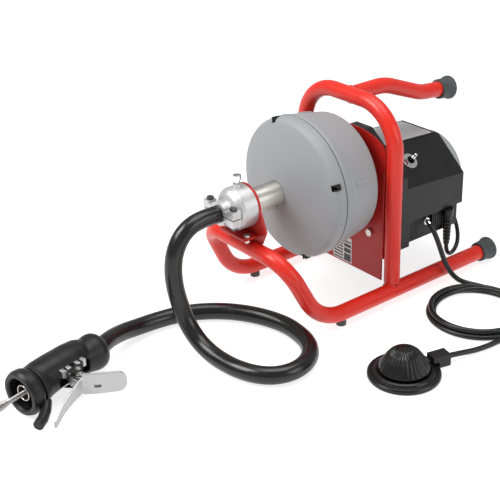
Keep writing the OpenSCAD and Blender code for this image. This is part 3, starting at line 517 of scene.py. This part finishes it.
front = lathe("drum_front_shell", rounded(
    [(23.2, 166), (34, 163.8), (62, 156.2), (104, 144), (125.6, 136.5), (125.6, 116.2), (123.6, 115.6),
     (123.6, 113.4), (121.8, 113.4), (121.8, 134), (102, 141), (34, 160.6), (23.2, 162.6)],
    [0.6, 6, 30, 10, 13, 0.8, 0.3, 0.3, 0.3, 9, 10, 4, 0.4], 6), NOSE, grey, "drum", 192)
rear = lathe("drum_rear_shell", rounded(
    [(31, 28), (106, 28), (112.5, 33), (124.9, 104), (126.2, 108), (126.2, 114.4), (124.1, 114.6),
     (124.1, 109), (121.6, 105), (109.4, 38), (104, 31), (31, 31)],
    [0.5, 6, 8, 3, 2, 1.2, 0.4, 0.5, 2, 6, 5, 0.5], 5), NOSE, grey, "drum", 192)


# clips and ribs come four to a turn: angle of the first, in degrees, and place of each, in mm
CLIP_PHASE, CLIP_R, CLIP_Y = 18, 120, -130
RIB_PHASE, RIB_R, RIB_Y, RIB_SLOPE = 15, 117.8, -74, 0.17


def drum_place(k, phase, r, y, slope=None):
    """Place of clip or rib k; its +x points outwards, or along the side wall if that has a slope."""
    a = math.radians(phase + 90 * k)
    out, side = Vector((math.cos(a), 0, math.sin(a))), Vector((-math.sin(a), 0, math.cos(a)))
    x, z = out, Vector((0, -1, 0))
    if slope:
        x = (out * slope + z).normalized()
        z = x.cross(side)
    m = Matrix((x, side, z)).transposed().to_4x4()
    return Matrix.Translation((out.x * r * MM, y * MM, (DRUM_Z + out.z * r) * MM)) @ m


def box_outline(x0, x1, y0, y1):
    return [(x0, y0), (x1, y0), (x1, y1), (x0, y1)]


for k in range(4):
    P = drum_place(k, CLIP_PHASE, CLIP_R, CLIP_Y)
    cut(front, prism("pocket", rounded(box_outline(-7, 9, -5.4, 5.4), 1.5), -4.8, 9, P, grey, None, 0))
clip_parts = []
for k in range(4):
    P = drum_place(k, CLIP_PHASE, CLIP_R, CLIP_Y)
    block = rounded(box_outline(-6.4, 3.2, -5, 5), 1.2)
    clip_parts.append(prism(f"drum_clip_{k}", block, -4.4, 1.6, P, black, "drum"))
    for s in (-1, 1):
        prong = rounded([(-6, 2.1 * s - 1.1), (7.2, 3.7 * s - 1.2),
                         (7.6, 3.7 * s + 1.2), (-6, 2.1 * s + 1.1)], 0.6)
        clip_parts.append(prism(f"drum_clip_prong_{k}_{s + 1}", prong, -3.6, 7.4, P, black, "drum"))
for o in clip_parts:
    bevel(o, 0.6, 2)
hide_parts("drum_front")
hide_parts("drum_rear")
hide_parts("drum_clips")
for k in range(4):
    P = drum_place(k, RIB_PHASE, RIB_R, RIB_Y, RIB_SLOPE)
    rib = prism(f"drum_rib_{k}", rounded(box_outline(-15, 15, -3.4, 3.4), 2.4, 4), -3.6, 3.2, P, grey, "drum")
    bevel(rib, 1.6, 3)

# ---------------------------------------------------------------- pedal


def flutes(a, r, h):
    """Shallow upright flutes that fade out near the top and at the rim."""
    if r < 10 or h < 16:
        return r, h
    fade = min(1, (r - 10) / 8) * min(1, (h - 16) / 6)
    return r - 1.15 * fade * (0.5 + 0.5 * math.cos(32 * a)), h


dome_outer = rounded([(41.5, 14.6), (41.5, 17.5), (37.8, 25), (32.3, 34.4), (25, 43.8), (16, 50.4), (0.02, 52.5)],
                     [0.5, 2, 14, 14, 12, 14, 0], 6)[:-1]
dome_inner = rounded([(0.02, 50), (12, 49), (23, 41.2), (30.3, 32.4), (35.5, 23.8), (39, 16.8), (39, 14.6)],
                     [0, 12, 10, 10, 10, 2, 0.4], 4)[1:]
dome = lathe("pedal_dome_fluted", dome_outer + [(0.02, 52.5), (0.02, 50)] + dome_inner,
             PEDAL, black, "pedal_pad", 320, wave=flutes, smooth=50)
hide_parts("pedal_dome")
base = lathe("pedal_base_ring", rounded(
    [(0.02, 0), (58.5, 0), (60, 1.8), (60, 6.5), (58, 9), (54.5, 9.6), (53.5, 8.6), (51, 8.6), (49.4, 11.6),
     (46.6, 13), (43.6, 12.6), (42.3, 10.5), (42, 2.5), (0.02, 2.5)],
    [0, 1, 1, 1.6, 1.4, 0.8, 0.5, 0.5, 1.2, 1, 0.8, 0.8, 0.8, 0], 4), PEDAL, black, "machine", 192)
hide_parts("pedal_base")


def helix(r, h0, h1, turns, per=20, ends=0.75):
    """Points of a coil spring whose end turns lie flat."""
    n = int(turns * per)
    out = []
    for k in range(n + 1):
        t = k / per
        f = min(1, max(0, (t - ends) / (turns - 2 * ends)))
        a = 2 * math.pi * t
        out.append((r * math.cos(a), r * math.sin(a), h0 + (h1 - h0) * f))
    return out


SPRING_LOW, SPRING_TOP, PEDAL_TRAVEL = 3.7, 47.6, 12
spring = tube("pedal_coil_spring", helix(10, SPRING_LOW, SPRING_TOP, 8), 1.0, PEDAL, zinc, "machine", 10)
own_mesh(spring)
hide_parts("pedal_spring")

# ---------------------------------------------------------------- strain relief, recess, label and top panel

relief_top, relief_end = Vector((111.7, 147, 136.2)), Vector((108, 151, 61))
run = (relief_end - relief_top).length
aim = (relief_end - relief_top).to_track_quat("Z", "Y").to_matrix().to_4x4()
RELIEF = Matrix.Translation(relief_top * MM) @ aim
outline = [(0.02, 0), (9.6, 0), (10.4, 1.2), (10.4, 12), (9.4, 13.4), (9.4, 16), (8.2, 17.4)]
h, k = 19.0, 0
while h < run - 8:
    ridge, groove = 8.2 - 0.25 * k, 6.2 - 0.12 * k
    outline += [(ridge - 0.2, h), (ridge, h + 1), (ridge, h + 3.6), (ridge - 0.4, h + 4.4),
                (groove, h + 4.9), (groove, h + 6.6)]
    h += 7.2
    k += 1
outline += [(6, run - 5), (5.4, run - 0.6), (4.4, run - 0.1), (0.02, run - 0.1)]
relief = lathe("cord_strain_relief", outline, RELIEF, black, "machine", 48)
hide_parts("strain_relief")

for k in range(5):
    y = 112 + 5 * k
    rib = prism(f"recess_rib_{k}", rounded(box_outline(99.5, 106.5, y, y + 3.4), 0.8), 104, 134, ID, black)
    bevel(rib, 0.6, 2)
sheet = prism("rating_label", rounded(box_outline(-28, 22, 39, 90), 1.5), 0.05, 0.35, PLATE, label_white)
label_blocks = [(2, 20, 41, 56), (2, 20, 58.5, 67), (2, 20, 69.5, 76)]
label_blocks += [(-26, -1, 41 + 6 * k, 44 + 6 * k) for k in range(6)]
label_blocks += [(-26, 20, 79, 82), (-26, 2, 85, 87)]
for i, (x0, x1, y0, y1) in enumerate(label_blocks):
    mark = prism(f"label_block_{i}", rounded(box_outline(x0, x1, y0, y1), 0.5), 0.35, 0.45, PLATE, label_black)
border = prism("top_panel_border", rounded(box_outline(-39, 39, -4, 119), 3), 0.02, 0.3, TOP_PANEL, panel)
field = prism("top_panel_field", rounded(box_outline(-36.5, 36.5, -1.5, 116.5), 2.4), 0.3, 0.42,
              TOP_PANEL, cover_grey)

# ---------------------------------------------------------------- hand gun

ring = lathe("gun_mouth_lip", rounded(
    [(26.8, 149), (36, 151), (37.8, 156), (38, 166), (35, 172.4), (28.6, 172.4), (26.8, 169.6)],
    [0.5, 2, 2.2, 2.2, 1.4, 1.2, 0.8], 5), BORE, satin_black, "machine", 128)
step = lathe("gun_neck_ring", rounded([(28, 139), (33.4, 140.5), (33.6, 145), (28, 147)], 0.8, 4),
             BORE, satin_black, "machine", 128)
tube_lip = lathe("gun_bore_lip", rounded(
    [(11.6, 155), (14, 155), (14, 165), (13.2, 165.8), (12.2, 165.8), (11.6, 165)],
    [0, 0, 0.8, 0.5, 0.5, 0.5], 3), BORE, wire, "machine", 72)


def strap(name, points, thick, heights, mat):
    """A cast strap: half its thickness, and half its height at each point of its middle line."""
    sides = 40
    pts = [Vector(p) for p in points]
    bm = bmesh.new()
    rings = []
    for i, p in enumerate(pts):
        d = (pts[min(i + 1, len(pts) - 1)] - pts[max(i - 1, 0)]).normalized()
        side = d.cross(Vector((0, 0, 1))).normalized()
        ring = []
        for k in range(sides):
            a = 2 * math.pi * k / sides
            c, t = math.cos(a), math.sin(a)
            x = math.copysign(abs(c) ** 0.6, c) * thick * min(1, heights[i] / 5)
            y = math.copysign(abs(t) ** 0.35, t) * heights[i]
            rim = 0.9 * max(0, abs(y) / heights[i] - 0.82) / 0.18 if heights[i] > 9 else 0
            ring.append(bm.verts.new(GUN @ ((p + side * (x * (1 + rim * 0.55)) + Vector((0, 0, y))) * MM)))
        rings.append(ring)
    for a, b in zip(rings, rings[1:]):
        for k in range(sides):
            m = (k + 1) % sides
            bm.faces.new((a[k], a[m], b[m], b[k]))
    bm.faces.new(rings[0][::-1])
    bm.faces.new(rings[-1])
    bmesh.ops.recalc_face_normals(bm, faces=bm.faces)
    me = bpy.data.meshes.new(name)
    bm.to_mesh(me)
    bm.free()
    return link(name, me, mat, None, 0)


def lever_part(name, outline, h0, h1):
    return prism(name, outline, h0, h1, GUN, polished, None, 0)


def one_piece(name, parts, voxel, passes):
    """One cast piece from parts that overlap."""
    bm = bmesh.new()
    for o in parts:
        bm.from_mesh(o.data)
    o = parts[0]
    bm.to_mesh(o.data)
    bm.free()
    for p in parts[1:]:
        bpy.data.objects.remove(p, do_unlink=True)
    o.name = name
    cast_look(o, voxel, passes)
    apply(o)
    for p in o.data.polygons:
        p.use_smooth = True
    return o


# the paddle: bowed outwards, with a rounded end
PADDLE_STEPS, PADDLE_HALF, END_HALF = 32, 18.8, 4.5
line, high = [], []
for k in range(PADDLE_STEPS + 1):
    t = k / PADDLE_STEPS
    bow = 1.82 * math.sin(math.pi * t)
    line.append((49.5 + 48.5 * t + bow, -88 + 50 * t - bow, -5.2 + 0.4 * t))
    closing = max(0, (t - 0.72) / 0.285) ** 3.2
    high.append(max(END_HALF, PADDLE_HALF * (1 - closing) ** 0.5) if k < PADDLE_STEPS else END_HALF)
paddle = strap("paddle", line, 2.3, high, polished)

# the finger: x, y, z of its middle line, and half its height, which is spread over FADE_STEPS
# a span where the line has LINE_STEPS, so that the end stays blunt
LINE_STEPS, FADE_STEPS = 3, 4
finger_line = [
    (52, -82, -6.5, 15), (51.4, -92, -6.5, 13.5), (53.4, -104, -8, 11), (56.6, -122, -13.4, 8.8),
    (60, -139, -19.6, 6.6), (64.4, -155, -27.2, 4.4), (67.2, -164.5, -32, 2.8),
]
n = len(finger_line) - 1
line = catmull([p[:3] for p in finger_line], LINE_STEPS)
high = []
for i in range(len(line)):
    at, part = int(i / FADE_STEPS), i / FADE_STEPS - int(i / FADE_STEPS)
    a, b = finger_line[min(n - 1, at)][3], finger_line[min(n, at + 1)][3]
    high.append(a + (b - a) * part)
finger = strap("finger", line, 1.9, high, polished)

PIN_X, PIN_Y = 38, -84
around = [math.pi * k / 20 for k in range(40)]
parts = [
    finger, paddle,
    lever_part("hub", [(PIN_X + 6.5 * math.cos(a), PIN_Y + 6.5 * math.sin(a)) for a in around], -12.7, 4),
    lever_part("arm", rounded([(36, -80), (51, -81.5), (52.5, -89), (37, -88)], 2, 4), -11.5, 3.6),
    lever_part("jaw", rounded(box_outline(6.6, 33, -92.8, -75.2), 1.5, 3), -8.8, 3.8),
]
for k, y in enumerate((-97, -75.6)):
    parts.append(lever_part(f"lug{k}", rounded(box_outline(27, 51, y, y + 3.6), 1, 3), -12, 3.9))
lever = one_piece("squeeze_lever", parts, 0.7, 4)
cut(lever, lever_part("slot", rounded([(67.6, -80.4), (75.9, -72.9), (70.7, -67.9), (62.4, -75.4)], 1, 3),
                      -11.5, -5.5))
lever.data.materials.clear()
lever.data.materials.append(polished.m)
soften(lever, 60)
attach(lever, "lever")
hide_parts("gun_lever")
screw_place = GUN @ Matrix.Translation((-0.003, -0.1, 0.0135)) @ Matrix.Rotation(math.pi / 2, 4, "Y")
bolt_head = lathe("gun_side_screw", rounded(
    [(0.02, 27.5), (3.8, 27.5), (3.8, 30), (2.6, 31.6), (0.02, 31.9)], [0, 0.3, 1, 1, 0], 4),
    screw_place, chrome, "machine", 32)
for k, y in enumerate((-104, -92, -74, -62)):
    bar = prism(f"gun_pocket_bar_{k}", rounded(box_outline(19, 29.5, y - 3.6, y + 3.6), 1.4, 4), 6, 19.5,
                GUN, polished)
    bevel(bar, 1.2, 3)
turns = [(PIN_X + x, PIN_Y + y, z) for x, y, z in helix(4.4, 5.0, 12, 6, 16, 0.1)]
tension = tube("lever_torsion_spring", turns + [(34, -81.4, 12), (26, -80.4, 11.4)], 0.7, GUN, zinc,
               "machine", 8)
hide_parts("lever_spring")

# the cable's end: wound wire, opening into a fatter coil and a tapered nose
TIP_START, TIP_END, TIP_PITCH, PER_TURN = 26, 244, 2.15, 12
turns = []
radii = [(TIP_START, 3.3), (192, 3.3), (201, 5.3), (209, 6.6), (226, 6.6), (235, 5.3), (TIP_END, 3.6)]
n = int((TIP_END - TIP_START) / TIP_PITCH * PER_TURN)
for k in range(n + 1):
    h = TIP_START + (TIP_END - TIP_START) * k / n
    for (h0, r0), (h1, r1) in zip(radii, radii[1:]):
        if h0 <= h <= h1:
            r = r0 + (r1 - r0) * (h - h0) / (h1 - h0)
            break
    a = 2 * math.pi * k / PER_TURN
    turns.append((r * math.cos(a), r * math.sin(a), h))
tip = tube("cable_wound_tip", turns, 0.95, BORE, wire, "cable_end", 6, smooth=80)
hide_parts("cable_tip")

# ---------------------------------------------------------------- weld beads


def bead(name, points, r, mat, closed=True):
    """A rippled line of weld."""
    pts = [Vector(p) for p in points]
    fine = []
    for i in range(len(pts) if closed else len(pts) - 1):
        a, b = pts[i], pts[(i + 1) % len(pts)]
        steps = max(1, round((b - a).length / 0.9))
        fine += [a.lerp(b, k / steps) for k in range(steps)]
    if closed:
        fine.append(fine[0])
    rad = [r * (1 + 0.14 * math.sin(k * 1.35) + 0.06 * math.sin(k * 0.37)) for k in range(len(fine))]
    o = tube(name, fine, rad, ID, mat, "machine", 8, smooth=60)


def over_tube(offset):
    """Height of a frame tube's surface above its middle line, offset mm to one side of it."""
    return math.sqrt(max(0, TUBE_R ** 2 - offset ** 2))


around = [2 * math.pi * k / 72 for k in range(72)]
for s in (-1, 1):
    loop = []
    for a in around:
        x = s * ARCH_X + 14.4 * math.cos(a)
        loop.append((x, ARCH_Y + 14.4 * math.sin(a), RAIL_Z + over_tube(x - s * RAIL_X) + 0.5))
    bead(f"foot_weld_{s + 1}", loop, 1.9, red)
loop = []
for a in around:
    z = HANDLE_Z + 14.5 * math.sin(a)
    loop.append((14.5 * math.cos(a), ARCH_Y + over_tube(min(14.2, abs(z - ARCH_TOP))) + 0.5, z))
bead("handle_weld", loop, 1.7, red)
bead("bracket_weld", [(x, -232.6, HOOP_Z + 14.6) for x in (-41, 41)], 1.6, sheet_red, closed=False)
for s in (-1, 1):
    bead(f"plate_weld_{s + 1}", [(s * 102.6, -9, 84), (s * 102.6, -9, 246)], 1.5, sheet_red, closed=False)

# ---------------------------------------------------------------- stage

bm = bmesh.new()
bmesh.ops.create_grid(bm, x_segments=1, y_segments=1, size=40)
me = bpy.data.meshes.new("floor")
bm.to_mesh(me)
bm.free()
floor = bpy.data.objects.new("floor", me)
bpy.context.scene.collection.objects.link(floor)
floor_mat = Mat("floor", (0.42, 0.42, 0.42), 0.75).colors(3, 0.008).roughs(8, 0.05)
floor_mat.b.inputs["Emission Color"].default_value = (1, 1, 1, 1)
floor_mat.b.inputs["Emission Strength"].default_value = 0.76
floor.data.materials.append(floor_mat.m)
floor.location = (0, 0, -0.0005)

world = bpy.data.worlds.new("studio")
bpy.context.scene.world = world
world.use_nodes = True
world.node_tree.nodes["Background"].inputs["Color"].default_value = (1, 1, 1, 1)
world.node_tree.nodes["Background"].inputs["Strength"].default_value = 0.42


def area(name, place, target, size, power):
    """A square soft light at place, in metres, that faces target."""
    d = bpy.data.lights.new(name, "AREA")
    d.energy = power
    d.shape = "SQUARE"
    d.size = size
    o = bpy.data.objects.new(name, d)
    bpy.context.scene.collection.objects.link(o)
    o.location = place
    o.rotation_euler = (Vector(place) - Vector(target)).to_track_quat("Z", "Y").to_euler()


area("key", (-0.6, -1.6, 1.9), (0, -0.1, 0.1), 1.2, 46)
area("top", (0.1, 0.1, 2.2), (0, 0, 0.1), 1.5, 27)
area("side", (1.9, 0.5, 1.0), (0, 0, 0.15), 1.1, 11)
bpy.context.scene.view_settings.view_transform = "Standard"
